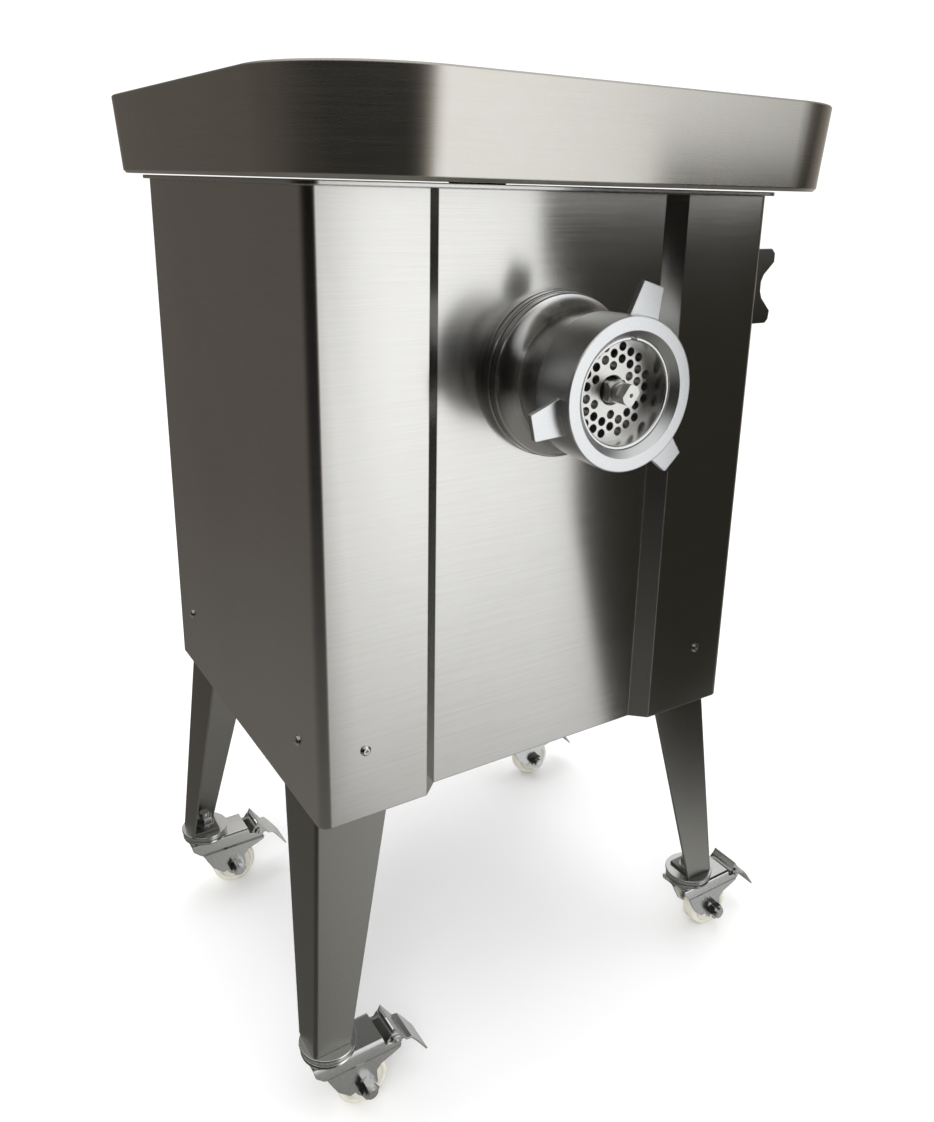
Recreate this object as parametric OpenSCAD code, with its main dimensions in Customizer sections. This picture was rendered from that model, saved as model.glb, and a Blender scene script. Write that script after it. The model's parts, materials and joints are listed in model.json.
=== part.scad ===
// Floor-standing meat mincer: a stainless steel cabinet on four splayed legs with braked
// swivel castors, a size 32 mincing head on the front and a wide feed pan on top.
// Units are millimetres. +Z is up and the mincing head faces -Y.

/* [Cabinet] */
// Width of the cabinet across the front
body_w = 500; // [460:5:560]
// Depth of the cabinet from front to back
body_d = 420; // [400:5:480]
// Height of the cabinet's wrapped side panel
body_h = 560; // [540:5:600]
// Thickness of the cabinet's sheet steel
sheet_t = 1.5; // [1:0.1:2]
// Radius of the two vertical front bends
bend_r = 10.5; // [6:0.5:14]
// Width of the sunken middle of the front, measured at the front plane
recess_w = 282; // [240:2:300]
// Depth of the sunken middle of the front
recess_depth = 15; // [8:1:18]
// How far the top plate stands out beyond the cabinet
lip = 9; // [4:1:14]

/* [Legs] */
// Height of the legs below the cabinet
leg_h = 250; // [200:5:300]
// Width of each leg face at the cabinet
leg_w_top = 75; // [60:1:80]
// Width of each leg face at the foot
leg_w_foot = 38; // [36:1:46]
// Sideways splay of each leg over its height
leg_splay_x = 20; // [5:1:26]
// Fore and aft splay of each leg over its height
leg_splay_y = 27; // [10:1:32]

/* [Castors] */
// Overall height of a castor
castor_h = 93; // [90:1:96]
// Diameter of a castor wheel
wheel_d = 55; // [50:1:58]
// Width of a castor wheel
wheel_w = 22; // [18:1:24]
// Distance that a wheel trails behind its swivel axis
castor_trail = 34; // [28:1:36]

/* [Feed pan] */
// Width of the feed pan at its rim
pan_w = 572; // [540:2:640]
// Depth of the feed pan at its rim, front to back
pan_d = 596; // [560:2:640]
// Height of the feed pan
pan_h = 76; // [60:1:100]
// Radius of the pan's vertical corners at the rim
pan_corner_r = 110; // [60:1:140]
// How much further out the rim is than the floor of the pan
pan_flare = 6; // [2:1:12]
// Inside diameter of the feed neck
neck_d = 52; // [48:1:54]

/* [Mincing head] */
// Height of the worm's axis above the bottom of the cabinet
axis_up = 397; // [380:1:410]
// Outside radius of the ring nut at its front
nut_r = 67; // [65:0.5:70]
// Angle of the first ring nut lug, clockwise from the top
lug_angle = 17; // [0:1:60]
// Radius of the lug tips
lug_tip_r = 96; // [88:1:104]
// Diameter of the holes in the plate
plate_hole_d = 8; // [4:0.5:8.5]
// Distance between neighbouring plate holes
plate_pitch = 10.7; // [10.5:0.1:12]
// Distance from one turn of the worm's flight to the next
worm_pitch = 58; // [50:1:70]

/* [Drive] */
// Number of teeth on the drive gear
gear_teeth = 58; // [54:2:58]
// Pitch diameter of the driven pulley
big_pulley_d = 200; // [160:5:200]
// Pitch diameter of the motor pulley
small_pulley_d = 80; // [70:5:90]
// Height of the motor's axis above the bottom of the cabinet
motor_up = 132; // [125:1:140]
// Radius of the motor's ribbed housing, without its ribs
motor_r = 72; // [65:1:76]

/* [Hidden] */
$fn = 48;
body_z = castor_h + leg_h;
top_z = body_z + body_h;
top_plate_t = 4;
pan_z = top_z + top_plate_t + 1;
axis_z = body_z + axis_up;
front_y = -body_d / 2;
panel_y = front_y + recess_depth;
side_x = body_w / 2;

// Legs and castors
leg_t = 3;
leg_bend_r = 4;
leg_top_x = side_x - 3.5;
leg_top_y = body_d / 2 - 22;
foot_x = leg_top_x + leg_splay_x;
foot_y = leg_top_y + leg_splay_y;
swivel_x = foot_x - 22;
swivel_y = foot_y - 18;
stem_r = 6;
rivet_r = 10;
fork_half = 20.5;
cheek_half = 16;
fork_t = 2.5;
fork_z = castor_h - 12.5;
fork_bend_r = 4;
joggle_top = castor_h - 29;
joggle_foot = castor_h - 36;
wheel_r = wheel_d / 2;
axle_r = 5;
axle_af = 17;
pedal_x = 66.5;
pedal_z = castor_h - 24;
pedal_rod_r = 2.5;
pedal_half = 17.6;
pedal_t = 1.8;
pedal_reach = 104;

// Feed pan
pan_t = 1.5;
pan_y = -5;
neck_y = -55;
neck_t = 1.5;
neck_len = 100;

// Mincing head, with distances taken forwards from the sunken front panel
head_bore_r = 50;
flange_s = 8.5;
nut_s0 = 63.4;
nut_s1 = 111;
nut_back_r = nut_r - 1.6;
plate_s0 = 73;
plate_s1 = 85;
spacer_s1 = 103.5;
barrel_s1 = 92;
thread_r = 57;
worm_core_r = 19;
worm_s0 = -192;
worm_s1 = 60;
neck_s = panel_y - neck_y;
shank_af = 19;
shank_r = 12.1;
stud_end_s = 110.5;
key_angle = -6;

// Drive train
run_gap = 0.05;
gear_module = 2.5;
pinion_teeth = 18;
shaft_r = 17;
pinion_shaft_r = 12.5;
rotor_shaft_r = 12;
gear_r = gear_module * gear_teeth / 2;
pinion_r = gear_module * pinion_teeth / 2;
pinion_z = axis_z - gear_r - pinion_r;
motor_z = body_z + motor_up;
big_bearing_r = 31;
small_bearing_r = 25;
box_y0 = 12;
box_y1 = 92;
box_half = 92;
box_wall = 8;
cover_t = 20;
gear_y0 = 38;
gear_w = 26;
pulley_y0 = 106;
pulley_w = 28;
motor_y0 = -118;
motor_y1 = 84;
motor_foot_t = 8;
stand_t = 6;
base_t = 3;
base_z = body_z + 6;
seat_gap = 0.05;
leg_inside = base_z - body_z - seat_gap;
barrel_s0 = panel_y - box_y0;
stand_y0 = 18;
stand_y1 = 88;

// Fittings
button_z = top_z - 190;
button_y = 20;
button_gap = 46;
cleat_z = body_z + 468;
cleat_half = 39;
cleat_reach = 38;
gland_x = -150;
gland_z = body_z + 60;

// The origin is the floor point under the middle of everything, castor pedals included
origin_x = (swivel_x + pedal_reach - pan_w / 2) / 2;
origin_y = (panel_y - nut_s1 + pan_y + pan_d / 2) / 2;

// ---- helpers ----

// Moves from the cabinet's own centre line to the part's origin
module placed() { translate([-origin_x, -origin_y, 0]) children(); }

// Local z points out of the front and local y points up, from the panel on the worm's axis
module on_head() { placed() translate([0, panel_y, axis_z]) rotate([90, 0, 0]) children(); }

// A cylinder along +Y that starts at y0
module rod_y(y0, len, r, x = 0, z = 0, r2 = -1) {
    translate([x, y0, z]) rotate([-90, 0, 0]) cylinder(h = len, r1 = r, r2 = r2 < 0 ? r : r2);
}

// A turned shape about the head's axis, from points of [radius, distance forwards]
module turned(points) { rotate_extrude() polygon(points); }

// A flat outline with round corners
module round_rect(w, d, r) {
    union() {
        square([w - 2 * r, d], center = true);
        square([w, d - 2 * r], center = true);
        for (i = [-1, 1], j = [-1, 1])
            translate([i * (w / 2 - r), j * (d / 2 - r)]) circle(r);
    }
}

module hex(af, h) { cylinder(h = h, r = af / sqrt(3), $fn = 6); }

// A screw along -X with a button head whose seat is at x = 0
module button_screw(head_r = 5, len = 8) {
    rotate([0, 90, 0]) difference() {
        union() {
            cylinder(h = 1.2, r = head_r);
            translate([0, 0, 1.2]) cylinder(h = 1.6, r1 = head_r, r2 = head_r * 0.6);
            translate([0, 0, -len]) cylinder(h = len, r = 2);
        }
        translate([0, 0, 1]) hex(3, 3);
    }
}

// Names of the four corners with their signs in x and y
function corner(i) = [[-1, -1], [1, -1], [-1, 1], [1, 1]][i];

// ---- cabinet ----

// Outline of the sunken front, moved inwards by a distance
module recess_outline(inset) {
    run = recess_depth + 1;
    len = sqrt(run * run + recess_depth * recess_depth);
    k = inset * (1 - run / len) / (recess_depth / len);
    x0 = recess_w / 2 + k;
    y0 = front_y + inset;
    polygon([
        [-x0, y0], [-x0, front_y - 5], [x0, front_y - 5], [x0, y0],
        [x0 - run, y0 + recess_depth], [-x0 + run, y0 + recess_depth]
    ]);
}

module cabinet_outline(inset) {
    w = body_w - 2 * inset;
    r = bend_r - inset;
    difference() {
        union() {
            translate([-w / 2, front_y + inset + r]) square([w, body_d - r - inset]);
            translate([-w / 2 + r, front_y + inset]) square([w - 2 * r, r + 1]);
            for (i = [-1, 1]) translate([i * (w / 2 - r), front_y + inset + r]) circle(r);
        }
        recess_outline(inset);
    }
}

module screw_places() {
    for (i = [-1, 1]) {
        for (y = [-160, 162]) translate([i * side_x, y, body_z + 68])
            rotate([0, 0, i > 0 ? 0 : 180]) children();
        translate([i * 205, front_y, body_z + 70]) rotate([0, 0, -90]) children();
    }
}

module cover_screw_places() {
    for (i = [-1, 1], z = [40, body_h / 2, body_h - 40])
        translate([i * (side_x - 12), body_d / 2, body_z + z]) rotate([0, 0, 90]) children();
}

module casing() color("silver") placed() difference() {
    translate([0, 0, body_z]) union() {
        linear_extrude(body_h) difference() {
            cabinet_outline(0);
            cabinet_outline(sheet_t);
        }
        linear_extrude(body_h) for (i = [0, 1]) mirror([i, 0])
            translate([side_x - 20, body_d / 2 - 2 * sheet_t]) square([20, sheet_t]);
    }
    translate([0, front_y - 1, axis_z]) rotate([-90, 0, 0]) cylinder(h = 40, r = 70);
    screw_places() rotate([0, 90, 0]) translate([0, 0, -4]) cylinder(h = 8, r = 2.4);
    cover_screw_places() rotate([0, 90, 0]) translate([0, 0, -6]) cylinder(h = 8, r = 2.4);
}

module casing_screws() color("gainsboro") placed()
    screw_places() translate([seat_gap, 0, 0]) button_screw();

module rear_cover() color("silver") placed() difference() {
    translate([-side_x + 2, body_d / 2 - sheet_t, body_z + 3])
        cube([body_w - 4, sheet_t, body_h - 5]);
    for (i = [-1, 1], row = [0 : 9])
        translate([i * 90 - 55, body_d / 2 - 5, body_z + 120 + row * 16]) cube([110, 10, 5]);
    cover_screw_places() rotate([0, 90, 0]) translate([0, 0, -6]) cylinder(h = 8, r = 2.4);
    rod_y(body_d / 2 - 5, 10, 8.2, gland_x, gland_z);
}

module cover_screws() color("gainsboro") placed()
    cover_screw_places() translate([seat_gap, 0, 0]) button_screw(4.5, 6);

module top_plate() color("silver") placed() translate([0, 0, top_z]) difference() {
    linear_extrude(top_plate_t - 0.2) difference() {
        round_rect(body_w + 2 * lip, body_d + 2 * lip, bend_r + lip);
        translate([0, neck_y]) circle(38);
    }
    // the underside rises towards the edge, so the lip reads as a thin flange
    for (i = [-1, 1]) translate([i * (side_x + lip), 0, -1.1]) rotate([0, -i * 14, 0])
        cube([2 * lip, body_d + 60, 3], center = true);
    for (j = [-1, 1]) translate([0, j * (body_d / 2 + lip), -1.1]) rotate([j * 14, 0, 0])
        cube([body_w + 60, 2 * lip, 3], center = true);
}

module base_plate() color("darkgray") placed() difference() {
    edge_x = side_x - sheet_t - 0.4;
    tab_h = 85;
    union() {
        translate([-edge_x, panel_y + sheet_t + 0.5, base_z])
            cube([2 * edge_x, body_d - recess_depth - sheet_t - 4, base_t]);
        for (i = [0, 1]) mirror([i, 0, 0]) {
            // turned-up edge behind the side screws
            translate([edge_x - base_t, -180, base_z]) cube([base_t, 360, tab_h]);
            // tongue and tab behind the front screw
            translate([168, front_y + sheet_t + 0.4, base_z]) cube([66, recess_depth + 2, base_t]);
            translate([168, front_y + sheet_t + 0.4, base_z]) cube([66, base_t, tab_h]);
        }
    }
    for (i = [-1, 1], row = [0 : 5])
        translate([i * 175 - 40, -60 + row * 22, base_z - 1]) cube([80, 10, base_t + 2]);
    screw_places() rotate([0, 90, 0]) translate([0, 0, -10]) cylinder(h = 12, r = 2.6);
}

// ---- legs ----

// Folded angle with its bend at the outer corner
module leg_angle(w) {
    translate([-w, -leg_t]) square([w - leg_bend_r, leg_t]);
    translate([-leg_t, -w]) square([leg_t, w - leg_bend_r]);
    translate([-leg_bend_r, -leg_bend_r]) intersection() {
        difference() {
            circle(leg_bend_r);
            circle(leg_bend_r - leg_t);
        }
        square(leg_bend_r + 1);
    }
}

// Folded leg for the corner at +X and +Y. Its free edges taper towards the foot
module leg() {
    run = norm([leg_splay_x, leg_splay_y, leg_h]);
    taper = atan((leg_w_top - leg_w_foot) / run);
    difference() {
        union() {
            translate([foot_x, foot_y, castor_h])
                rotate([asin(leg_splay_y / run), -atan(leg_splay_x / leg_h), 0])
                difference() {
                    translate([0, 0, -15]) linear_extrude(run + 30) leg_angle(leg_w_top + 6);
                    translate([-leg_w_foot, -10, 0]) rotate([0, -taper, 0])
                        translate([-90, 0, -50]) cube([90, 20, run + 100]);
                    translate([-10, -leg_w_foot, 0]) rotate([taper, 0, 0])
                        translate([0, -90, -50]) cube([20, 90, run + 100]);
                }
            translate([foot_x - 36, foot_y - 36, castor_h]) cube([34, 34, leg_t]);
        }
        translate([foot_x - 90, foot_y - 90, castor_h - 40]) cube([120, 120, 40]);
        translate([leg_top_x - 90, leg_top_y - 90, body_z + leg_inside]) cube([120, 120, 60]);
        translate([swivel_x, swivel_y, castor_h - 5]) cylinder(h = 20, r = stem_r + 0.3);
    }
}

module leg_at(i) color("gray") placed()
    mirror([corner(i)[0] < 0 ? 1 : 0, 0, 0]) mirror([0, corner(i)[1] < 0 ? 1 : 0, 0]) leg();

// ---- castors ----

module castor_at(i) {
    placed() translate([corner(i)[0] * swivel_x, corner(i)[1] * swivel_y, 0]) children();
}

// Fixed top: mounting disc, bearing ring, and a riveted stem with its nut and washer
module castor_head(i) color("silver") castor_at(i) translate([0, 0, castor_h]) {
    rotate_extrude() polygon([
        [0, -3.5], [24, -3.5], [24, -7.8], [26.2, -7.8], [27.2, -6.8], [27.2, -5],
        [26.2, -4.2], [26.2, -3.4], [28, -3.4], [28.6, -2.6], [28.6, -1], [28, -0.1], [0, -0.1]
    ]);
    translate([0, 0, -17.8]) cylinder(h = 38, r = stem_r);
    translate([0, 0, -17.8]) cylinder(h = 2.6, r = rivet_r);
    translate([0, 0, leg_t + 0.1]) cylinder(h = 1.6, r = 12);
    translate([0, 0, leg_t + 1.7]) rotate([0, 0, 15]) hex(18, 10);
}

// End view of the bent fork blank as a solid: wide at the top, narrower beside the wheel
module fork_bend(half_top, half_low, r, z, foot) {
    translate([-half_top + r, joggle_top]) square([2 * (half_top - r), z - joggle_top]);
    for (i = [-1, 1]) translate([i * (half_top - r), z - r]) circle(r);
    polygon([
        [-half_top, z - r], [half_top, z - r], [half_top, joggle_top], [half_low, joggle_foot],
        [half_low, foot], [-half_low, foot], [-half_low, joggle_foot], [-half_top, joggle_top]
    ]);
}

// Side view of the fork, with a lobe round the axle and an ear round the pedal's rod
module fork_outline() {
    polygon([
        [-24, fork_z], [51, fork_z], [53.5, castor_h - 22.2], [60, castor_h - 22.7],
        [73, castor_h - 33], [73, castor_h - 38.4], [62, castor_h - 43], [51, castor_h - 47],
        [castor_trail + 11.5, castor_h - 53], [castor_trail + 12, wheel_r + 2.5],
        [castor_trail - 18, wheel_r - 4], [3, castor_h - 58], [-3, castor_h - 47],
        [-10, castor_h - 33], [-22, castor_h - 21]
    ]);
    translate([castor_trail, wheel_r]) circle(12.5);
    translate([pedal_x, pedal_z]) circle(5.5);
}

// Swivelling fork: lower bearing ring over one bent sheet with two cheeks
module fork(i) color("lightgray") castor_at(i) difference() {
    union() {
        translate([0, 0, fork_z - 0.7]) rotate_extrude() polygon([
            [0, 0], [24, 0], [27, 1.5], [27.5, 3], [26.5, 4.6], [23, 5.2], [0, 5.2]
        ]);
        intersection() {
            translate([-30, 0, 0]) rotate([90, 0, 90]) linear_extrude(120) difference() {
                fork_bend(fork_half, cheek_half, fork_bend_r, fork_z, 0);
                fork_bend(fork_half - fork_t, cheek_half - fork_t, fork_bend_r - fork_t,
                    fork_z - fork_t, -1);
            }
            rotate([90, 0, 0]) linear_extrude(60, center = true) fork_outline();
        }
    }
    translate([0, 0, fork_z - 10]) cylinder(h = 20, r = stem_r + run_gap);
    rod_y(-30, 60, axle_r + 0.02, castor_trail, wheel_r);
    rod_y(-30, 60, pedal_rod_r + run_gap, pedal_x, pedal_z);
}

module wheel(i) color("ivory") castor_at(i) translate([castor_trail, 0, wheel_r])
    rotate([90, 0, 0]) rotate_extrude() {
        h = wheel_w / 2;
        polygon([
            [axle_r + run_gap, -h - 2], [9, -h - 2], [10, -h + 1], [wheel_r - 8, -h + 2],
            [wheel_r - 6, -h], [wheel_r - 2.5, -h], [wheel_r - 0.6, -h + 2],
            [wheel_r, -h + 5], [wheel_r, h - 5], [wheel_r - 0.6, h - 2],
            [wheel_r - 2.5, h], [wheel_r - 6, h], [wheel_r - 8, h - 2], [10, h - 1],
            [9, h + 2], [axle_r + run_gap, h + 2]
        ]);
    }

// Axle bolt with its head at the back; washer, nut, collar and the bolt's end at the front
module axle(i) color("silver") castor_at(i) translate([castor_trail, 0, wheel_r]) {
    rod_y(-cheek_half - 13.5, 2 * cheek_half + 14, axle_r);
    translate([0, cheek_half + seat_gap, 0]) rotate([-90, 0, 0]) hex(axle_af, 6.4);
    translate([0, -cheek_half - seat_gap, 0]) rotate([90, 0, 0]) {
        cylinder(h = 1.4, r = 10);
        translate([0, 0, 1.4]) hex(axle_af, 8);
        translate([0, 0, 9.4]) cylinder(h = 3.5, r = 6.5);
    }
}

function unit(v) = v / norm(v);
function left_of(v) = [-v[1], v[0]];

// One side of a bent strip, at a distance to the left of its centre line, with mitred bends
function strip_side(p, d) = [for (i = [0 : len(p) - 1])
    let (before = unit(i > 0 ? p[i] - p[i - 1] : p[1] - p[0]),
         after = unit(i < len(p) - 1 ? p[i + 1] - p[i] : p[i] - p[i - 1]))
    p[i] + d * left_of(before + after) / (1 + before * after)];

// Side view of a bent strip of thickness t whose centre line runs through the points
module bent_strip(p, t) {
    back = strip_side(p, -t / 2);
    polygon(concat(strip_side(p, t / 2), [for (i = [len(p) - 1 : -1 : 0]) back[i]]));
}

// Brake pedal: a bent tread and a stop plate between two ears on a rod through the fork
module pedal(i) color("silver") castor_at(i) {
    rod_y(-fork_half - 1.2, 2 * fork_half + 2.4, pedal_rod_r, pedal_x, pedal_z);
    translate([pedal_x, 0, pedal_z]) rotate([90, 0, 0]) {
        linear_extrude(2 * pedal_half, center = true) {
            bent_strip([[-11, -1], [-4, 9]], pedal_t);
            bent_strip([[-1, 14.5], [12.5, -6], [18.5, -7], [23.5, -13],
                [pedal_reach - pedal_t / 2 - pedal_x, -32]], pedal_t);
        }
        for (j = [-1, 1]) translate([0, 0, j * (pedal_half - 1.1)])
            linear_extrude(2, center = true) {
                circle(4.8);
                polygon([[-11, -1], [-4, 9], [-1, 14.5], [11, -3.6], [-2, -3.5]]);
            }
    }
}

// ---- feed pan ----

// Section through the pan's wall, with the rim at the outside
module pan_section(r) {
    polygon([
        [r - pan_flare - 14, 0], [r - pan_flare - 3, 0], [r - pan_flare, 3],
        [r - 0.2, pan_h - 3], [r, pan_h - 1.5], [r - 1.2, pan_h], [r - 3.4, pan_h],
        [r - 3.4, pan_h - 1.5],
        [r - pan_flare - pan_t, 4], [r - pan_flare - 4, pan_t], [r - pan_flare - 14, pan_t]
    ]);
}

module feed_pan() color("silver") placed() translate([0, pan_y, pan_z]) difference() {
    cx = pan_w / 2 - pan_corner_r;
    cy = pan_d / 2 - pan_corner_r;
    union() {
        for (i = [0, 1], j = [0, 1]) mirror([i, 0, 0]) mirror([0, j, 0])
            translate([cx, cy, 0]) rotate_extrude(angle = 90, $fn = 96)
                pan_section(pan_corner_r);
        for (i = [0, 1]) {
            mirror([i, 0, 0]) translate([cx, cy, 0]) rotate([90, 0, 0])
                linear_extrude(2 * cy) pan_section(pan_corner_r);
            mirror([0, i, 0]) translate([-cx, cy, 0]) rotate([90, 0, 90])
                linear_extrude(2 * cx) pan_section(pan_corner_r);
        }
        linear_extrude(pan_t) round_rect(pan_w - 2 * (pan_flare + 12),
            pan_d - 2 * (pan_flare + 12), pan_corner_r - pan_flare - 12);
    }
    translate([0, neck_y - pan_y, -5]) cylinder(h = 20, r = neck_d / 2 + 3);
}

module feed_neck() color("silver") placed() translate([0, neck_y, pan_z])
    rotate_extrude() {
        r = neck_d / 2;
        polygon([
            [r, pan_t - neck_len], [r + neck_t, pan_t - neck_len], [r + neck_t, -2],
            [r + 2.9, 0], [r + 2.9, pan_t + 0.3], [r + 1.5, pan_t + 0.3], [r, -1.5]
        ]);
    }

// ---- mincing head ----

module socket_ring() color("silver") on_head() turned([
    [61.5, -30], [69.5, -30], [69.5, 0.05], [76.2, 0.05], [77.2, 1.2], [77.2, 6.4],
    [76.4, 7.6], [74, 7.6], [74, 8.3], [61.5, 8.3]
]);

module barrel() color("lightgray") on_head() difference() {
    union() {
        turned([
            [0, barrel_s0], [56, barrel_s0], [58, barrel_s0 + 2], [58, -40], [61, -36],
            [61, flange_s], [75.2, flange_s], [76, flange_s + 0.9], [76, 16.2],
            [75.2, 17.4], [72, 18.4], [64.5, 25], [60.8, 31], [60.8, nut_s0 - 2],
            [thread_r, nut_s0 - 2], [thread_r, barrel_s1 - 1], [thread_r - 1, barrel_s1],
            [0, barrel_s1]
        ]);
        translate([0, 0, neck_s]) rotate([-90, 0, 0]) cylinder(h = 122, r = 34);
        translate([0, 0, barrel_s0]) cylinder(h = 8, r = 72);
    }
    translate([0, 0, barrel_s0 + 12]) cylinder(h = 400, r = head_bore_r);
    translate([0, 0, barrel_s0 - 1]) cylinder(h = 20, r = shaft_r + 0.4);
    translate([0, 0, barrel_s0 - 1]) cylinder(h = 8, r = 24);
    translate([0, 0, neck_s]) rotate([-90, 0, 0]) translate([0, 0, 20])
        cylinder(h = 110, r = neck_d / 2 + neck_t + 0.4);
    rotate([0, 0, key_angle]) translate([-3, head_bore_r - 6, plate_s0]) cube([6, 9, 40]);
}

module plate_key() color("gray") on_head() rotate([0, 0, key_angle])
    translate([-2.8, head_bore_r - 2.8, plate_s0 + 0.5]) cube([5.6, 5, 13]);

module hole_plate() color("whitesmoke") on_head() difference() {
    translate([0, 0, plate_s0]) cylinder(h = plate_s1 - plate_s0, r = head_bore_r - 0.3);
    translate([0, 0, plate_s0 - 1]) cylinder(h = 20, r = 12.5);
    translate([0, 0, plate_s1 - 1]) cylinder(h = 1.1, r1 = 12.5, r2 = 13.6);
    rotate([0, 0, key_angle]) translate([-3, head_bore_r - 3, plate_s0 - 1]) cube([6, 9, 20]);
    // staggered columns of holes that leave the hub and the rim solid
    for (i = [-4 : 4], j = [-4 : 4]) {
        x = i * plate_pitch * sin(60);
        y = (j + abs(i % 2) / 2) * plate_pitch;
        r = norm([x, y]);
        if (r > 20 && r < 41.5)
            translate([x, y, plate_s0 - 1]) cylinder(h = 20, r = plate_hole_d / 2);
    }
}

module spacer_ring() color("white") on_head() difference() {
    turned([
        [45.4, plate_s1], [head_bore_r - 0.4, plate_s1], [head_bore_r - 0.4, 99.4],
        [48.5, 99.4], [48.5, spacer_s1 - 0.6], [47.9, spacer_s1], [46.2, spacer_s1],
        [45.4, spacer_s1 - 1]
    ]);
    rotate([0, 0, key_angle]) translate([-3.3, 40, spacer_s1 - 9]) cube([6.6, 20, 30]);
    rotate([0, 0, key_angle]) translate([-3, head_bore_r - 3, plate_s1 - 1]) cube([6, 9, 3]);
}

// One flat lug of the ring nut, pointing up
module lug_outline() {
    polygon([
        [-18, 55], [-11.8, lug_tip_r - 2], [-10.8, lug_tip_r - 1], [10.8, lug_tip_r - 1],
        [11.8, lug_tip_r - 2], [18, 55]
    ]);
}

module ring_nut() color("gainsboro") on_head() difference() {
    union() {
        turned([
            [thread_r + 0.3, nut_s0], [nut_back_r - 0.6, nut_s0], [nut_back_r, nut_s0 + 0.8],
            [nut_r, nut_s1 - 0.8], [nut_r - 0.8, nut_s1], [54.8, nut_s1], [49.4, 104.4],
            [48.9, 103.8], [48.9, 99.6], [thread_r + 0.3, 99.6]
        ]);
        translate([0, 0, nut_s1 - 17]) linear_extrude(5)
            for (k = [0 : 2]) rotate(-lug_angle - k * 120) lug_outline();
    }
    translate([0, 0, nut_s0 - 1]) cylinder(h = 99.6 - nut_s0 + 1, r = thread_r + 0.3);
}

module knife() color("silver") on_head() translate([0, 0, worm_s1 + 0.5]) difference() {
    union() {
        cylinder(h = 12, r = 19);
        for (k = [0 : 3]) rotate(k * 90 + 20) translate([0, -8, 3]) cube([46.5, 15, 9.2]);
    }
    translate([0, 0, 6]) cube([shank_af + 0.4, shank_af + 0.4, 30], center = true);
}

// The flight is a sector of a disc that turns as it advances
module worm_flight() {
    turns = (worm_s1 - worm_s0 - 12) / worm_pitch;
    half = 22;
    linear_extrude(height = worm_s1 - worm_s0 - 12, twist = -360 * turns,
        slices = round(14 * turns))
        polygon(concat([[0, 0]], [for (a = [-half : half : half]) 48.5 * [cos(a), sin(a)]]));
}

// Worm with a squared shank for the knife and a turned stud beyond the plate
module worm() color("silver") on_head() difference() {
    union() {
        translate([0, 0, worm_s0]) cylinder(h = worm_s1 - worm_s0, r = worm_core_r);
        translate([0, 0, worm_s0 + 6]) worm_flight();
        intersection() {
            turned([
                [0, worm_s1 - 1], [shank_r, worm_s1 - 1], [shank_r, 91], [9.5, 94],
                [0, 94]
            ]);
            translate([-shank_af / 2, -shank_af / 2, 0]) cube([shank_af, shank_af, 120]);
        }
        turned([
            [0, 93], [7.2, 93], [7.2, 95.5], [9, 96.2], [9, 98], [8.2, 98.4], [8.2, 99.2],
            [9, 99.6], [9, 101.4], [0, 101.4]
        ]);
        intersection() {
            translate([0, 0, 101]) cylinder(h = stud_end_s - 101, r = 9.2);
            rotate([0, 0, -36]) translate([-6.8, -20, 100]) cube([13.6, 40, 20]);
        }
    }
    translate([0, 0, stud_end_s - 5]) cylinder(h = 6, r = 1.8);
    translate([0, 0, worm_s0 - 1]) rotate([0, 0, 30]) hex(22.6, 26);
}

// ---- drive train ----

// Straight-sided gear outline that stays clear of its mate
module gear_outline(teeth) {
    pitch_r = gear_module * teeth / 2;
    tip = pitch_r + gear_module * 0.95;
    root = pitch_r - gear_module * 1.2;
    step = 360 / teeth;
    polygon([for (t = [0 : teeth - 1]) for (p = [[root, -0.31], [tip, -0.1], [tip, 0.1],
        [root, 0.31]]) p[0] * [cos((t + p[1]) * step), sin((t + p[1]) * step)]]);
}

module drive_shaft() color("silver") placed() translate([0, 0, axis_z]) {
    rod_y(panel_y - worm_s0 + 1, box_y1 - 8 - (panel_y - worm_s0 + 1), shaft_r);
    translate([0, panel_y - worm_s0 - 22, 0]) rotate([-90, 30, 0]) hex(22, 24);
}

module drive_gear() color("dimgray") placed() translate([0, gear_y0, axis_z])
    rotate([-90, 0, 0]) linear_extrude(gear_w) difference() {
        rotate(90) gear_outline(gear_teeth);
        circle(shaft_r + run_gap);
        for (k = [0 : 5]) rotate(k * 60) translate([44, 0]) circle(13);
    }

// The pinion is cut on its own shaft; a gap faces the drive gear's tooth
module pinion_shaft() color("gray") placed() translate([0, 0, pinion_z]) {
    rod_y(box_y0 + 3, pulley_y0 + pulley_w - box_y0 - 3, pinion_shaft_r);
    translate([0, gear_y0 - 2, 0]) rotate([-90, 0, 0]) linear_extrude(gear_w + 4)
        rotate(-90 + 180 / pinion_teeth) gear_outline(pinion_teeth);
}

module bearing(y, z, bore, r) {
    translate([0, y, z]) rotate([-90, 0, 0]) difference() {
        cylinder(h = 14, r = r);
        translate([0, 0, -1]) cylinder(h = 16, r = bore + run_gap);
        for (s = [-1, 13]) translate([0, 0, s]) difference() {
            cylinder(h = 2, r = (bore + r) / 2 + 3);
            cylinder(h = 2, r = (bore + r) / 2 - 3);
        }
    }
}

module bearings() color("lightsteelblue") placed() {
    for (y = [box_y0 + 4, box_y1 - 22]) {
        bearing(y, axis_z, shaft_r, big_bearing_r);
        bearing(y, pinion_z, pinion_shaft_r, small_bearing_r);
    }
}

module shaft_seal() color("black") placed() translate([0, 0, axis_z])
    difference() {
        rod_y(panel_y - barrel_s0 - 7, 6.8, 23.8);
        rod_y(panel_y - barrel_s0 - 8, 12, shaft_r + run_gap);
    }

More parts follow.
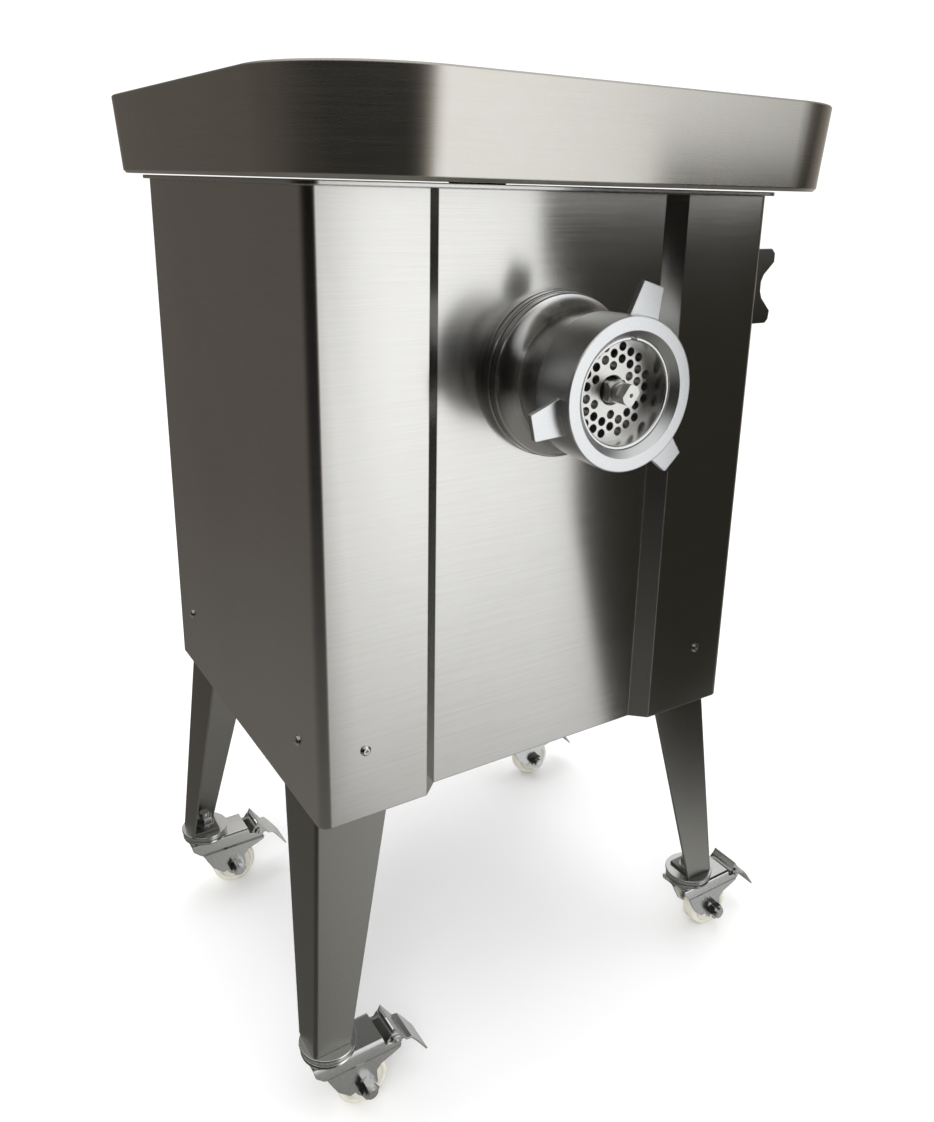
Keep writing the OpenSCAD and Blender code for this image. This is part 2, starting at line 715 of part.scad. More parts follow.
module box_outline() {
    mid = (axis_z + pinion_z) / 2;
    union() {
        translate([0, axis_z]) circle(box_half - 4);
        translate([0, pinion_z]) circle(46);
        translate([-box_half, axis_z - 70]) square([2 * box_half, 50]);
        translate([-46, pinion_z]) square([92, mid - pinion_z]);
    }
}

module box_cavity() {
    union() {
        translate([0, axis_z]) circle(gear_r + 7.5);
        translate([0, pinion_z]) circle(pinion_r + 13.5);
        translate([-30, pinion_z]) square([60, 60]);
    }
}

module shaft_holes() {
    rod_y(box_y0 - 5, box_wall + 20, big_bearing_r + run_gap, 0, axis_z);
    rod_y(box_y0 - 5, box_wall + 20, small_bearing_r + run_gap, 0, pinion_z);
}

module gearbox_housing() color("slategray") placed() difference() {
    translate([0, box_y1 - cover_t, 0]) rotate([90, 0, 0])
        linear_extrude(box_y1 - box_y0 - cover_t) box_outline();
    translate([0, box_y1, 0]) rotate([90, 0, 0])
        linear_extrude(box_y1 - box_y0 - cover_t) box_cavity();
    shaft_holes();
}

module gearbox_cover() color("slategray") placed() difference() {
    translate([0, box_y1, 0]) rotate([90, 0, 0]) linear_extrude(cover_t) box_outline();
    rod_y(box_y1 - 22.5, 15, big_bearing_r + run_gap, 0, axis_z);
    rod_y(box_y1 - 22.5, 15, small_bearing_r + run_gap, 0, pinion_z);
    rod_y(box_y1 - 30, 40, pinion_shaft_r + 0.6, 0, pinion_z);
}

module drive_stand() color("dimgray") placed() difference() {
    union() {
        for (i = [0, 1]) mirror([i, 0, 0]) {
            translate([box_half, stand_y0, base_z + base_t])
                cube([stand_t, stand_y1 - stand_y0, axis_z - base_z - 26]);
            translate([box_half, stand_y0, base_z + base_t]) cube([40, 70, stand_t]);
        }
        // cross tie between the motor and the gearbox
        translate([-box_half - 1, stand_y1 - 40, motor_z + motor_r + 14])
            cube([2 * box_half + 2, 40, stand_t]);
    }
    for (i = [-1, 1], z = [axis_z - 60, axis_z - 36])
        translate([i * (box_half + 3), 52, z]) rotate([0, 90, 0])
            cylinder(h = 30, r = 4.3, center = true);
}

// Grooved pulley about the Y axis, from its pitch radius
module pulley_rim(r, w) {
    rotate([-90, 0, 0]) rotate_extrude() polygon([
        [0, 0], [r + 4, 0], [r + 4, 3.5], [r - 7, 6.5], [r - 7, 8.5], [r + 4, 11.5],
        [r + 4, w - 11.5], [r - 7, w - 8.5], [r - 7, w - 6.5], [r + 4, w - 3.5],
        [r + 4, w], [0, w]
    ]);
}

module big_pulley() color("dimgray") placed() translate([0, pulley_y0, pinion_z]) difference() {
    pulley_rim(big_pulley_d / 2, pulley_w);
    rod_y(-1, pulley_w + 2, pinion_shaft_r + run_gap);
    for (k = [0 : 4]) rotate([0, k * 72, 0]) rod_y(-1, pulley_w + 2, 20, 57, 0);
}

module motor_pulley() color("dimgray") placed() translate([0, pulley_y0, motor_z]) difference() {
    pulley_rim(small_pulley_d / 2, pulley_w);
    rod_y(-1, pulley_w + 2, rotor_shaft_r + run_gap);
}

// Two V belts round both pulleys: arcs joined by the outer tangents
module belt_outline(out) {
    c = pinion_z - motor_z;
    rb = big_pulley_d / 2 + out;
    rs = small_pulley_d / 2 + out;
    lean = asin((rb - rs) / c);
    union() {
        translate([0, pinion_z]) circle(rb, $fn = 96);
        translate([0, motor_z]) circle(rs, $fn = 96);
        polygon([
            [rb * cos(lean), pinion_z + rb * sin(lean)],
            [rs * cos(lean), motor_z + rs * sin(lean)],
            [-rs * cos(lean), motor_z + rs * sin(lean)],
            [-rb * cos(lean), pinion_z + rb * sin(lean)]
        ]);
    }
}

module drive_belt() color("black") placed() for (y = [7.5, pulley_w - 7.5])
    translate([0, pulley_y0 + y + 1.5, 0]) rotate([90, 0, 0]) linear_extrude(3) difference() {
        belt_outline(3);
        belt_outline(-3);
    }

module motor_housing() color("steelblue") placed() difference() {
    union() {
        rod_y(motor_y0, motor_y1 - motor_y0, motor_r, 0, motor_z);
        rod_y(motor_y1 - 14, 14, motor_r + 5, 0, motor_z);
        rod_y(motor_y0, 30, motor_r + 5, 0, motor_z);
        for (k = [0 : 23]) translate([0, 0, motor_z]) rotate([0, k * 15, 0])
            translate([motor_r - 2, motor_y0 + 40, -1.2]) cube([7, 135, 2.4]);
        for (i = [-1, 1]) translate([i * 52 - 12, -70, base_z + base_t])
            cube([24, 120, motor_z - base_z - base_t - 50]);
        translate([-82, -70, base_z + base_t]) cube([164, 120, motor_foot_t]);
        translate([-40, -60, motor_z + motor_r - 6]) cube([80, 90, 34]);
    }
    rod_y(motor_y0 + 12, motor_y1 - motor_y0 - 24, motor_r - 10, 0, motor_z);
    rod_y(motor_y1 - 20, 40, rotor_shaft_r + run_gap, 0, motor_z);
    for (a = [0 : 30 : 330]) translate([0, 0, motor_z]) rotate([0, a, 0])
        rod_y(motor_y0 - 1, 20, 7, 42, 0);
}

// Rotor core, shaft and cooling fan
module motor_rotor() color("goldenrod") placed() translate([0, 0, motor_z]) {
    rod_y(motor_y0 + 14, pulley_y0 + pulley_w - motor_y0 - 14, rotor_shaft_r);
    rod_y(motor_y0 + 60, 90, 44);
    for (k = [0 : 6]) rotate([0, k * 360 / 7, 0])
        translate([11, motor_y0 + 18, -1.5]) cube([42, 18, 3]);
}

module drive_bolts() color("silver") placed() {
    for (i = [-1, 1], z = [axis_z - 60, axis_z - 36])
        translate([i * (box_half + stand_t + seat_gap), 52, z]) rotate([0, i * 90, 0]) hex(13, 5.5);
    for (i = [-1, 1], y = [-58, 38])
        translate([i * 72, y, base_z + base_t + motor_foot_t + seat_gap]) hex(13, 6);
    // bolts that hold the barrel's rear flange to the gearbox
    for (a = [45 : 90 : 315])
        translate([0, box_y0 - box_wall - seat_gap, axis_z]) rotate([90, a, 0])
        translate([65, 0, 0]) hex(10, 5);
}

// ---- fittings ----

module switch_plate() color("silver") placed() difference() {
    translate([side_x + seat_gap, button_y, button_z]) rotate([90, 0, 90])
        linear_extrude(14) round_rect(110, 66, 6);
    for (i = [-1, 1]) translate([side_x - 1, button_y + i * button_gap / 2, button_z])
        rotate([0, 90, 0]) cylinder(h = 30, r = 13.3);
}

module control_box() color("darkslategray") placed() difference() {
    translate([side_x - 62, button_y - 70, button_z - 100]) cube([60, 140, 150]);
    translate([side_x - 59, button_y - 67, button_z - 97]) cube([60, 134, 144]);
}

module start_button() color("green") placed()
    translate([side_x + 3.5, button_y - button_gap / 2, button_z]) rotate([0, 90, 0])
        rotate_extrude() polygon([[0, 0], [13, 0], [13, 13], [12, 14.5], [0, 15]]);

module stop_button() color("red") placed()
    translate([side_x + 3.5, button_y + button_gap / 2, button_z]) rotate([0, 90, 0])
        rotate_extrude() polygon([
            [0, 0], [13, 0], [13, 16], [17, 17], [18, 20], [16, 24], [9, 26], [0, 26.5]
        ]);

module cable_gland() color("black") placed() translate([gland_x, body_d / 2, gland_z])
    rotate([-90, 0, 0]) difference() {
        union() {
            translate([0, 0, -12]) cylinder(h = 13, r = 8);
            translate([0, 0, seat_gap]) hex(20, 6);
            translate([0, 0, 6]) cylinder(h = 9, r1 = 9, r2 = 7.5);
            translate([0, 0, -8]) hex(20, 6.4);
        }
        translate([0, 0, -15]) cylinder(h = 40, r = 4.5);
    }

// Flat cleat for winding the mains lead round, with a foot on the side of the cabinet
module cable_cleat() color("darkgray") placed()
    translate([side_x + seat_gap, front_y + 20, cleat_z]) {
        waist = cleat_reach - 17;
        rotate([90, 0, 0]) linear_extrude(2) polygon([
            [0, -cleat_half], [cleat_reach - 5, -cleat_half], [cleat_reach - 1, -cleat_half + 4],
            [cleat_reach, -26], [waist + 3, -12], [waist, -5], [waist, 5], [waist + 3, 12],
            [cleat_reach, 25], [cleat_reach, cleat_half - 5], [cleat_reach - 5, cleat_half],
            [0, cleat_half]
        ]);
        translate([0, -2, -cleat_half]) cube([2, 24, 2 * cleat_half]);
    }

casing();
rear_cover();
top_plate();
base_plate();
casing_screws();
cover_screws();
cable_gland();
cable_cleat();
switch_plate();
control_box();
start_button();
stop_button();
leg_at(0);  // leg_front_left
leg_at(1);  // leg_front_right
leg_at(2);  // leg_rear_left
leg_at(3);  // leg_rear_right
castor_head(0);  // castor_head_front_left
castor_head(1);  // castor_head_front_right
castor_head(2);  // castor_head_rear_left
castor_head(3);  // castor_head_rear_right
fork(0);  // fork_front_left
fork(1);  // fork_front_right
fork(2);  // fork_rear_left
fork(3);  // fork_rear_right
wheel(0);  // wheel_front_left
wheel(1);  // wheel_front_right
wheel(2);  // wheel_rear_left
wheel(3);  // wheel_rear_right
axle(0);  // axle_front_left
axle(1);  // axle_front_right
axle(2);  // axle_rear_left
axle(3);  // axle_rear_right
pedal(0);  // pedal_front_left
pedal(1);  // pedal_front_right
pedal(2);  // pedal_rear_left
pedal(3);  // pedal_rear_right
feed_pan();
feed_neck();
socket_ring();
barrel();
ring_nut();
spacer_ring();
hole_plate();
plate_key();
knife();
worm();
drive_shaft();
shaft_seal();
drive_gear();
pinion_shaft();
bearings();
gearbox_housing();
gearbox_cover();
drive_stand();
big_pulley();
drive_belt();
motor_housing();
motor_rotor();
motor_pulley();
drive_bolts();
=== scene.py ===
"""Looks of a floor-standing meat mincer: brushed cabinet, satin legs, zinc castors, turned head."""
import json
import math

import bmesh
import bpy
from mathutils import Matrix, Vector

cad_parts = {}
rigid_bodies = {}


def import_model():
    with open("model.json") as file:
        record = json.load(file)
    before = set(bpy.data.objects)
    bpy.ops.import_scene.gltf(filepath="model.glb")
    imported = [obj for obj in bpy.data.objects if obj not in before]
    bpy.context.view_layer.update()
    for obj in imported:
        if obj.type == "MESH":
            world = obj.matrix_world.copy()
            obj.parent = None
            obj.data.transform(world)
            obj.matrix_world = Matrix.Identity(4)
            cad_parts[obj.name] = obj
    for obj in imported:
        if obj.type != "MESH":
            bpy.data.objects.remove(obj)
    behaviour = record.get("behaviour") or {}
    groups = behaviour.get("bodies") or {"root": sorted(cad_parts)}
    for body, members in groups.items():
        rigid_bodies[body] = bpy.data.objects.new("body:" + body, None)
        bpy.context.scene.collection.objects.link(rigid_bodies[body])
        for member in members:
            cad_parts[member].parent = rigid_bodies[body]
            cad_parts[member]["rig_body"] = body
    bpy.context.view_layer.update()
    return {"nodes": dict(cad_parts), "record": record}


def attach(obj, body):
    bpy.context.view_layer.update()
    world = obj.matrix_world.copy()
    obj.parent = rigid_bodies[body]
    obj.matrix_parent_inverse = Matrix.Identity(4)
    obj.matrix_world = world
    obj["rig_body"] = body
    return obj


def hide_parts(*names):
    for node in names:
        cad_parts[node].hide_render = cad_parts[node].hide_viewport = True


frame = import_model()
nodes = frame["nodes"]
scene = bpy.context.scene
CORNERS = ("front_left", "front_right", "rear_left", "rear_right")
# where the mincing head's axis, which runs along Y, crosses X and Z
AXIS_X, AXIS_Z = -0.03125, 0.740
# how far a rounded normal may lean from the true one, as a dot product, on a flat and on a sharp edge
FLAT_LEAN, EDGE_LEAN = 0.999, 0.90
# a face whose normal is steeper than this lies level
LEVEL_FACE = 0.75
# noise scales of the brushed lines: along them, across the fine ones and across the wide ones
LINE_LENGTH, FINE_LINES, WIDE_LINES = 14.0, 1500.0, 330.0
FINE_SHARE = 0.7
TURNED_LINES, CAST_GRAIN, BLASTED_GRAIN = 1600.0, 420.0, 1100.0
# in a refined copy, points nearer than this are one, and faces that lean less than this are one face
SAME_POINT, SAME_PLANE = 0.000004, math.radians(0.6)
# rounding of the cabinet's long upright folds, and how a fold is told from other edges
FOLD_ROUNDING, FOLD_LENGTH, FOLD_ANGLES = 0.0028, 0.3, (math.radians(35), math.radians(60))


# ---------------------------------------------------------------- node graphs
class Graph:
    """A short way to write a node tree: g("Math", a, b, operation="ADD") gives that node's first output."""

    def __init__(self, tree):
        self.tree = tree
        self.tree.nodes.clear()

    def node(self, kind, *values, **settings):
        made = self.tree.nodes.new(kind)
        named = settings.pop("inputs", {})
        for key, value in settings.items():
            setattr(made, key, value)
        for key, value in [*enumerate(values), *named.items()]:
            if value is None:
                continue
            if isinstance(value, bpy.types.NodeSocket):
                self.tree.links.new(value, made.inputs[key])
            else:
                made.inputs[key].default_value = value
        return made

    def __call__(self, kind, *values, **settings):
        return self.node("ShaderNode" + kind, *values, **settings).outputs[0]

    def maths(self, operation, *values):
        return self("Math", *values, operation=operation)

    def vector(self, operation, *values):
        return self("VectorMath", *values, operation=operation)

    def scaled(self, point, factors):
        return self.vector("MULTIPLY", point, factors)

    def noise(self, point, scale=1.0, detail=2.0, rough=0.5, distortion=0.0):
        return self.node("ShaderNodeTexNoise", inputs={
            "Vector": point, "Scale": scale, "Detail": detail, "Roughness": rough,
            "Distortion": distortion}).outputs[0]

    def span(self, value, low, high, to_low=0.0, to_high=1.0):
        return self.node("ShaderNodeMapRange", inputs={
            "Value": value, "From Min": low, "From Max": high, "To Min": to_low,
            "To Max": to_high}).outputs[0]

    def choose(self, share, first, second):
        made = self.node("ShaderNodeMix", data_type="FLOAT")
        for key, value in ((0, share), (2, first), (3, second)):
            self.tree.links.new(value, made.inputs[key])
        return made.outputs[0]

    def blend(self, share, first, second):
        made = self.node("ShaderNodeMix", data_type="RGBA")
        for key, value in ((0, share), (6, first), (7, second)):
            if isinstance(value, bpy.types.NodeSocket):
                self.tree.links.new(value, made.inputs[key])
            else:
                made.inputs[key].default_value = value
        return made.outputs[2]


def tone(color, factor):
    return (*[min(1.0, c * factor) for c in color], 1.0)


def edge_mask(g, radius, normal):
    """A rounded normal, and 1 on sharp edges and 0 on flats, from how far it leans from the true one."""
    round_normal = g("Bevel", radius, samples=4)
    lean = g.node("ShaderNodeVectorMath", round_normal, normal, operation="DOT_PRODUCT").outputs["Value"]
    return round_normal, g.span(lean, FLAT_LEAN, EDGE_LEAN)


def worked_marks(g, grain, place, normal):
    """Height of the marks that the way of working leaves on the metal, from 0 to 1."""
    if grain == "sheet":
        # brushed lines run level on walls and along X on level faces
        level = g.maths("ABSOLUTE", g.node("ShaderNodeSeparateXYZ", normal).outputs[2])
        on_walls = g.scaled(place, (LINE_LENGTH, LINE_LENGTH, FINE_LINES))
        on_level = g.scaled(place, (LINE_LENGTH, FINE_LINES, LINE_LENGTH))
        fine = g.choose(g.maths("GREATER_THAN", level, LEVEL_FACE),
                        g.noise(on_walls, rough=0.6), g.noise(on_level, rough=0.6))
        wide = g.noise(g.scaled(place, (9.0, 9.0, WIDE_LINES)))
        return g.maths("ADD", g.maths("MULTIPLY", fine, FINE_SHARE),
                       g.maths("MULTIPLY", wide, 1.0 - FINE_SHARE))
    if grain == "turned":
        # rings about the head's axis, which runs along Y
        x, y, z = g.node("ShaderNodeSeparateXYZ", place).outputs
        across = g.node("ShaderNodeCombineXYZ", g.maths("SUBTRACT", x, AXIS_X), 0.0,
                        g.maths("SUBTRACT", z, AXIS_Z)).outputs[0]
        radius = g.node("ShaderNodeVectorMath", across, operation="LENGTH").outputs["Value"]
        line = g.node("ShaderNodeCombineXYZ", g.maths("MULTIPLY", radius, TURNED_LINES),
                      g.maths("MULTIPLY", y, TURNED_LINES), 0.0).outputs[0]
        return g.noise(line, rough=0.6)
    if grain == "cast":
        return g.noise(g.scaled(place, (CAST_GRAIN,) * 3), detail=4.0, rough=0.62)
    return g.noise(g.scaled(place, (BLASTED_GRAIN,) * 3), rough=0.6)


def material(name, color, metallic=1.0, rough=0.3, grain="fine", depth=0.00002, streak=0.12, blotch=0.08,
             aniso=0.0, edge=0.0008, wear=1.25, tint=(1.0, 1.0, 1.0), **sockets):
    """One finish.

    grain says how the surface was worked and depth is the height of its marks in metres. streak and blotch
    are how far fine marks and wide patches change the tone, edge is the rounding that light sees on edges,
    wear brightens them, and tint is the hue that the tone drifts towards."""
    made = bpy.data.materials.new(name)
    made.use_nodes = True
    g = Graph(made.node_tree)
    place = g.node("ShaderNodeTexCoord").outputs["Object"]
    normal = g.node("ShaderNodeNewGeometry").outputs["Normal"]
    marks = worked_marks(g, grain, place, normal)
    patch = g.noise(g.scaled(place, (7.0, 7.0, 5.0)), detail=4.0, rough=0.6, distortion=0.6)
    speck = g.noise(g.scaled(place, (60.0,) * 3), detail=3.0, rough=0.7)
    round_normal, at_edge = edge_mask(g, edge, normal)
    shade = g.maths("ADD", g.span(marks, 0.25, 0.75, 1.0 - streak, 1.0 + streak * 0.6),
                    g.span(patch, 0.3, 0.7, -blotch, blotch * 0.6))
    tinted = [c * t for c, t in zip(color, tint)]
    plain = g.blend(g.span(speck, 0.35, 0.75), tone(color, 1.0), tone(tinted, 1.0))
    base = g.node("ShaderNodeVectorMath", plain, inputs={"Scale": shade}, operation="SCALE").outputs[0]
    worn = g.blend(g.maths("MULTIPLY", at_edge, 0.6), base, tone(color, wear))
    roughness = g.maths("ADD", g.span(marks, 0.2, 0.8, rough * 0.90, rough * 1.10),
                        g.span(patch, 0.3, 0.7, -rough * 0.06, rough * 0.08))
    bump = g.node("ShaderNodeBump", inputs={
        "Strength": 1.0, "Distance": depth, "Height": marks, "Normal": round_normal}).outputs[0]
    shader = g.node("ShaderNodeBsdfPrincipled", inputs={
        "Base Color": worn, "Metallic": metallic, "Roughness": roughness, "Normal": bump, **sockets})
    if aniso:
        # a quarter turn spreads the highlight across the brushed lines
        shader.inputs["Anisotropic"].default_value = aniso
        shader.inputs["Anisotropic Rotation"].default_value = 0.25
        tangent = g.node("ShaderNodeTangent", direction_type="RADIAL", axis="Y" if grain == "turned" else "Z")
        g.tree.links.new(tangent.outputs[0], shader.inputs["Tangent"])
    g.node("ShaderNodeOutputMaterial", shader.outputs[0])
    return made


FINISHES = {
    "cabinet_steel": material("cabinet_steel", (0.62, 0.61, 0.59), rough=0.20, grain="sheet", depth=0.0000012,
                              streak=0.07, blotch=0.035, aniso=0.75, edge=0.0014, tint=(1.0, 0.985, 0.96)),
    "pan_steel": material("pan_steel", (0.57, 0.55, 0.51), rough=0.27, grain="sheet", depth=0.0000012,
                          streak=0.07, blotch=0.035, aniso=0.8, edge=0.0010, tint=(1.0, 0.98, 0.95)),
    "leg_steel": material("leg_steel", (0.34, 0.335, 0.31), rough=0.42, depth=0.000012, streak=0.14,
                          blotch=0.06, edge=0.0012),
    "inner_steel": material("inner_steel", (0.55, 0.57, 0.58), rough=0.38, grain="cast", depth=0.00001),
    "head_steel": material("head_steel", (0.74, 0.74, 0.73), rough=0.22, grain="turned", depth=0.000002,
                           streak=0.10, blotch=0.04, aniso=0.6, edge=0.0008),
    "nut_steel": material("nut_steel", (0.80, 0.81, 0.81), rough=0.33, depth=0.000014, streak=0.10,
                          blotch=0.05, edge=0.0010),
    "tool_steel": material("tool_steel", (0.78, 0.77, 0.74), rough=0.34, grain="turned", depth=0.000002,
                           streak=0.10, blotch=0.04, aniso=0.3, edge=0.0003),
    "zinc_steel": material("zinc_steel", (0.76, 0.76, 0.74), rough=0.22, grain="cast", depth=0.000004,
                           streak=0.09, edge=0.0008, tint=(0.96, 1.0, 1.03)),
    "fastener_steel": material("fastener_steel", (0.74, 0.74, 0.73), rough=0.17, depth=0.000003, streak=0.05,
                               edge=0.0004),
    "nylon": material("nylon", (0.72, 0.70, 0.63), metallic=0.0, rough=0.42, grain="cast", depth=0.00004,
                      streak=0.06, edge=0.0015, wear=0.9, tint=(0.93, 0.9, 0.84)),
    "gear_steel": material("gear_steel", (0.42, 0.42, 0.43), rough=0.28, grain="cast", depth=0.00002),
    "bearing_steel": material("bearing_steel", (0.62, 0.63, 0.65), rough=0.18, grain="turned",
                              depth=0.000002),
    "cast_iron": material("cast_iron", (0.16, 0.19, 0.22), metallic=0.0, rough=0.5, grain="cast",
                          depth=0.0002),
    "motor_paint": material("motor_paint", (0.10, 0.20, 0.34), metallic=0.0, rough=0.4, grain="cast",
                            depth=0.00012),
    "copper": material("copper", (0.65, 0.40, 0.24), rough=0.35, grain="turned", depth=0.00001),
    "rubber": material("rubber", (0.025, 0.025, 0.025), metallic=0.0, rough=0.75, depth=0.00005),
    "box_plastic": material("box_plastic", (0.05, 0.055, 0.06), metallic=0.0, rough=0.5, grain="cast",
                            depth=0.00006),
    "green_plastic": material("green_plastic", (0.02, 0.26, 0.07), metallic=0.0, rough=0.35, depth=0.00001),
    "red_plastic": material("red_plastic", (0.45, 0.02, 0.015), metallic=0.0, rough=0.33, depth=0.00001),
}
SLOT_OF = {row["node"]: row["material_slot"] for row in frame["record"]["subparts"]}
for name, thing in nodes.items():
    thing.data.materials.clear()
    thing.data.materials.append(FINISHES[SLOT_OF[name]])


# ---------------------------------------------------------------- refined copies of CAD nodes
def is_bend(edge):
    """True for a long upright fold of the cabinet's sheet."""
    run = edge.verts[1].co - edge.verts[0].co
    fold = edge.calc_face_angle(0.0)
    return abs(run.z) > FOLD_LENGTH and FOLD_ANGLES[0] < fold < FOLD_ANGLES[1]


def refine(name, width=0.0005, segments=2, angle=math.radians(30), bend=None):
    """A copy of a CAD node with its flat faces merged and its edges rounded. It rides where the node does.

    angle is the least that an edge turns to be rounded. bend is the rounding of the sheet's long upright
    folds, where they have one of their own."""
    source = nodes[name]
    made = bpy.data.objects.new(name + "_skin", source.data.copy())
    scene.collection.objects.link(made)
    mesh = bmesh.new()
    mesh.from_mesh(made.data)
    bmesh.ops.remove_doubles(mesh, verts=mesh.verts, dist=SAME_POINT)
    bmesh.ops.dissolve_limit(mesh, angle_limit=SAME_PLANE, verts=mesh.verts, edges=mesh.edges,
                             use_dissolve_boundaries=False)
    if bend:
        weight = mesh.edges.layers.float.new("bevel_weight_edge")
        for edge in mesh.edges:
            sharp = edge.calc_face_angle(0.0) > angle
            edge[weight] = 1.0 if is_bend(edge) else (width / bend if sharp else 0.0)
    mesh.to_mesh(made.data)
    mesh.free()
    custom = made.data.attributes.get("custom_normal")
    if custom:
        made.data.attributes.remove(custom)
    rounding = made.modifiers.new("edges", "BEVEL")
    rounding.width = bend or width
    rounding.segments = segments
    rounding.limit_method = "WEIGHT" if bend else "ANGLE"
    rounding.angle_limit = angle
    rounding.use_clamp_overlap = True
    rounding.harden_normals = True
    made.data.polygons.foreach_set("use_smooth", [True] * len(made.data.polygons))
    made.data.set_sharp_from_angle(angle=angle)
    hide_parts(name)
    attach(made, source["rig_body"])


refine("casing", 0.0004, 4, bend=FOLD_ROUNDING)
for name in ("top_plate", "feed_pan", "ring_nut", "spacer_ring", "barrel", "socket_ring",
             "cable_cleat", "casing_screws", "cover_screws", "rear_cover", "switch_plate", "start_button",
             "stop_button", "plate_key"):
    refine(name)
for corner in CORNERS:
    for part in ("leg", "fork", "castor_head", "axle", "pedal", "wheel"):
        refine(f"{part}_{corner}", 0.0004)


# ---------------------------------------------------------------- room, lights and camera
FLOOR_HALF = 12.0
SCREEN_Y = -0.45
LIT_POINT = Vector((0.0, 0.0, 0.6))
LAMP_WATTS = 30
# left edge of the dark screen from the top down, as points of (x, z), and how far right the screen goes
SCREEN_EDGE = ((0.134, 0.905), (0.142, 0.80), (0.185, 0.74), (0.200, 0.60), (0.208, 0.488), (0.272, 0.212),
               (0.31, 0.06))
SCREEN_FAR_X = 1.1
# what metal sees below and above the horizon, and what matt surfaces see all round
LOW_LIGHT = (0.22, 0.215, 0.20, 1.0)
HIGH_LIGHT = (0.85, 0.85, 0.85, 1.0)
SOFT_LIGHT = (1.25, 1.25, 1.25, 1.0)


def room_piece(name, verts, faces, color, **ray):
    """A piece of the room, which isn't part of the object. ray says which rays see it."""
    made = bpy.data.objects.new(name, bpy.data.meshes.new(name))
    made.data.from_pydata(verts, [], faces)
    scene.collection.objects.link(made)
    made.data.materials.append(color)
    for key, value in ray.items():
        setattr(made, key, value)


def sheet(name, corners, color, **ray):
    """A flat piece of the room."""
    room_piece(name, corners, [tuple(range(len(corners)))], color, **ray)


def turned_room(name, profile, color, count=96, **ray):
    """A round piece of the room from points of (radius, height)."""
    verts, faces = [], []
    for k in range(count):
        c, s = math.cos(2 * math.pi * k / count), math.sin(2 * math.pi * k / count)
        verts += [(r * c, r * s, z) for r, z in profile]
    n = len(profile)
    for k in range(count):
        here, beside = k * n, (k + 1) % count * n
        faces += [(here + i, here + i + 1, beside + i + 1, beside + i) for i in range(n - 1)]
    room_piece(name, verts, faces, color, **ray)


def room_paint(name, color):
    """A plain matt paint."""
    made = bpy.data.materials.new(name)
    made.use_nodes = True
    g = Graph(made.node_tree)
    place = g.node("ShaderNodeTexCoord").outputs["Object"]
    cloud = g.noise(g.scaled(place, (3.0,) * 3), detail=5.0)
    base = g.blend(cloud, tone(color, 0.97), tone(color, 1.02))
    shader = g.node("ShaderNodeBsdfPrincipled", inputs={"Base Color": base, "Roughness": 0.7})
    g.node("ShaderNodeOutputMaterial", shader.outputs[0])
    return made


def lamp(name, place, size, energy):
    """A square soft light that points at the machine and that metal doesn't mirror."""
    data = bpy.data.lights.new(name, "AREA")
    data.shape = "RECTANGLE"
    data.size = data.size_y = size
    data.energy = energy
    made = bpy.data.objects.new(name, data)
    scene.collection.objects.link(made)
    made.location = place
    made.rotation_mode = "QUATERNION"
    made.rotation_quaternion = (LIT_POINT - Vector(place)).to_track_quat("-Z", "Y")
    made.visible_glossy = False


def glow(name, color, strength):
    """A surface that shines evenly."""
    made = bpy.data.materials.new(name)
    made.use_nodes = True
    g = Graph(made.node_tree)
    place = g.node("ShaderNodeTexCoord").outputs["Object"]
    base = g.blend(g.noise(g.scaled(place, (0.2,) * 3)), tone(color, 0.99), tone(color, 1.0))
    g.node("ShaderNodeOutputMaterial", g("Emission", base, strength))
    return made


# the floor is pale; mirrors see the studio round it instead
sheet("floor", [(i * FLOOR_HALF, j * FLOOR_HALF, 0.0) for i, j in ((-1, -1), (1, -1), (1, 1), (-1, 1))],
      room_paint("pale_floor", (0.93, 0.93, 0.93)), visible_glossy=False, visible_shadow=False)
turned_room("backdrop", [(11.0, -0.2), (11.0, 9.0), (4.0, 12.0), (0.0, 12.5)],
            glow("pale_backdrop", (1.0, 1.0, 1.0), 1.1),
            visible_glossy=False, visible_diffuse=False, visible_shadow=False, visible_transmission=False)
# a dark screen in front of the cabinet, which only its reflections show
screen_outline = (*SCREEN_EDGE, (SCREEN_FAR_X, SCREEN_EDGE[-1][1]), (SCREEN_FAR_X, SCREEN_EDGE[0][1]))
sheet("screen", [(x, SCREEN_Y, z) for x, z in screen_outline],
      glow("dark_screen", (0.030, 0.028, 0.022), 1.0), visible_camera=False, visible_diffuse=False)

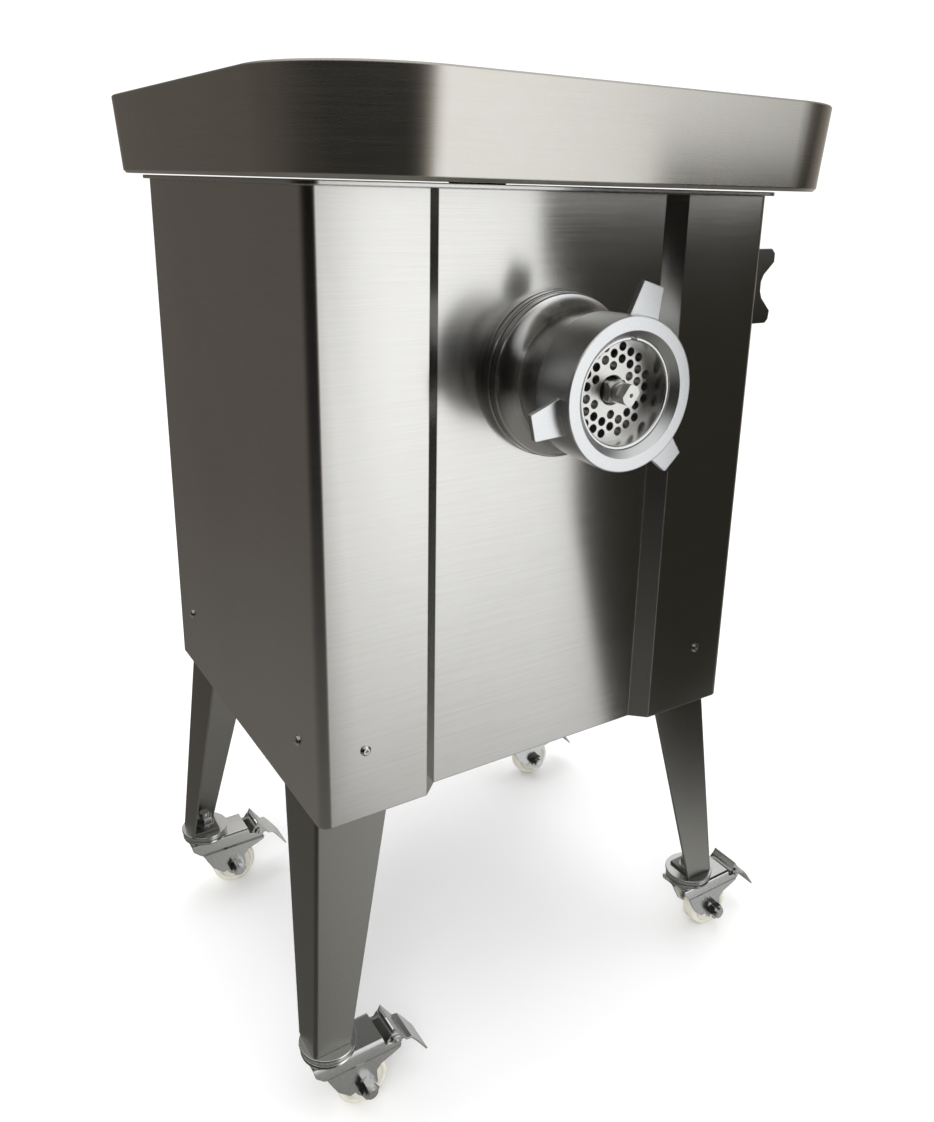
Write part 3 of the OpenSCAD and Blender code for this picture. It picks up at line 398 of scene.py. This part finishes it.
# brightness of the studio that metal reflects, by degrees round from the front towards the right
BANDS = ((-180, 0.18), (-168, 0.12), (-150, 0.12), (-120, 0.10), (-95, 0.05), (-70, 0.015), (-40, 0.006),
         (-5, 0.010), (6, 0.06), (14, 0.35), (20, 1.1), (24, 1.5), (32, 1.45), (40, 1.25), (50, 0.95),
         (58, 0.55), (66, 0.20), (80, 0.08), (110, 0.35), (135, 0.75), (155, 0.45), (180, 0.18))
world = bpy.data.worlds.new("studio")
scene.world = world
world.use_nodes = True
g = Graph(world.node_tree)
x, y, z = g.node("ShaderNodeSeparateXYZ", g.node("ShaderNodeTexCoord").outputs["Generated"]).outputs
around = g.maths("ARCTAN2", x, g.maths("MULTIPLY", y, -1.0))
ring = g.node("ShaderNodeValToRGB", g.span(around, -math.pi, math.pi))
stops = ring.color_ramp.elements
stops.remove(stops[1])
for i, (angle, bright) in enumerate(BANDS):
    # the ramp doesn't sort its stops, so they are made from low to high
    stop = stops.new((angle + 180) / 360) if i else stops[0]
    # bright bands are a little cool and dark ones warm
    blue = 1.03 if bright > 0.5 else 0.80
    stop.color = (bright, bright * (1 + blue) / 2, bright * blue, 1.0)
with_low = g.blend(g.span(z, -0.30, -0.75), ring.outputs[0], LOW_LIGHT)
seen_by_metal = g.blend(g.span(z, 0.35, 0.80), with_low, HIGH_LIGHT)
diffuse_ray = g.node("ShaderNodeLightPath").outputs["Is Diffuse Ray"]
sky = g.blend(diffuse_ray, seen_by_metal, SOFT_LIGHT)
g.node("ShaderNodeOutputWorld", g("Background", sky, 1.0))

lamp("key", (-1.8, -2.4, 2.6), 1.4, LAMP_WATTS)
lamp("top", (0.2, 0.1, 3.2), 2.4, LAMP_WATTS)
scene.view_settings.view_transform = "Standard"

camera = bpy.data.objects.new("camera", bpy.data.cameras.new("camera"))
scene.collection.objects.link(camera)
scene.camera = camera
camera.data.sensor_width = 36.0
camera.data.lens = 31.406
camera.data.shift_x = -0.02704
camera.data.shift_y = -0.06576
camera.data.clip_start, camera.data.clip_end = 0.05, 60.0
heading, pitch, roll = (math.radians(a) for a in (33.73, 17.22, -1.61))
forward = Vector((math.sin(heading) * math.cos(pitch), math.cos(heading) * math.cos(pitch), -math.sin(pitch)))
level = Vector((math.cos(heading), -math.sin(heading), 0.0))
below = forward.cross(level)
right = math.cos(roll) * level + math.sin(roll) * below
down = -math.sin(roll) * level + math.cos(roll) * below
turn = Matrix((right, -down, -forward)).transposed()
camera.matrix_world = Matrix.Translation((-0.57394, -0.91240, 0.90754)) @ turn.to_4x4()
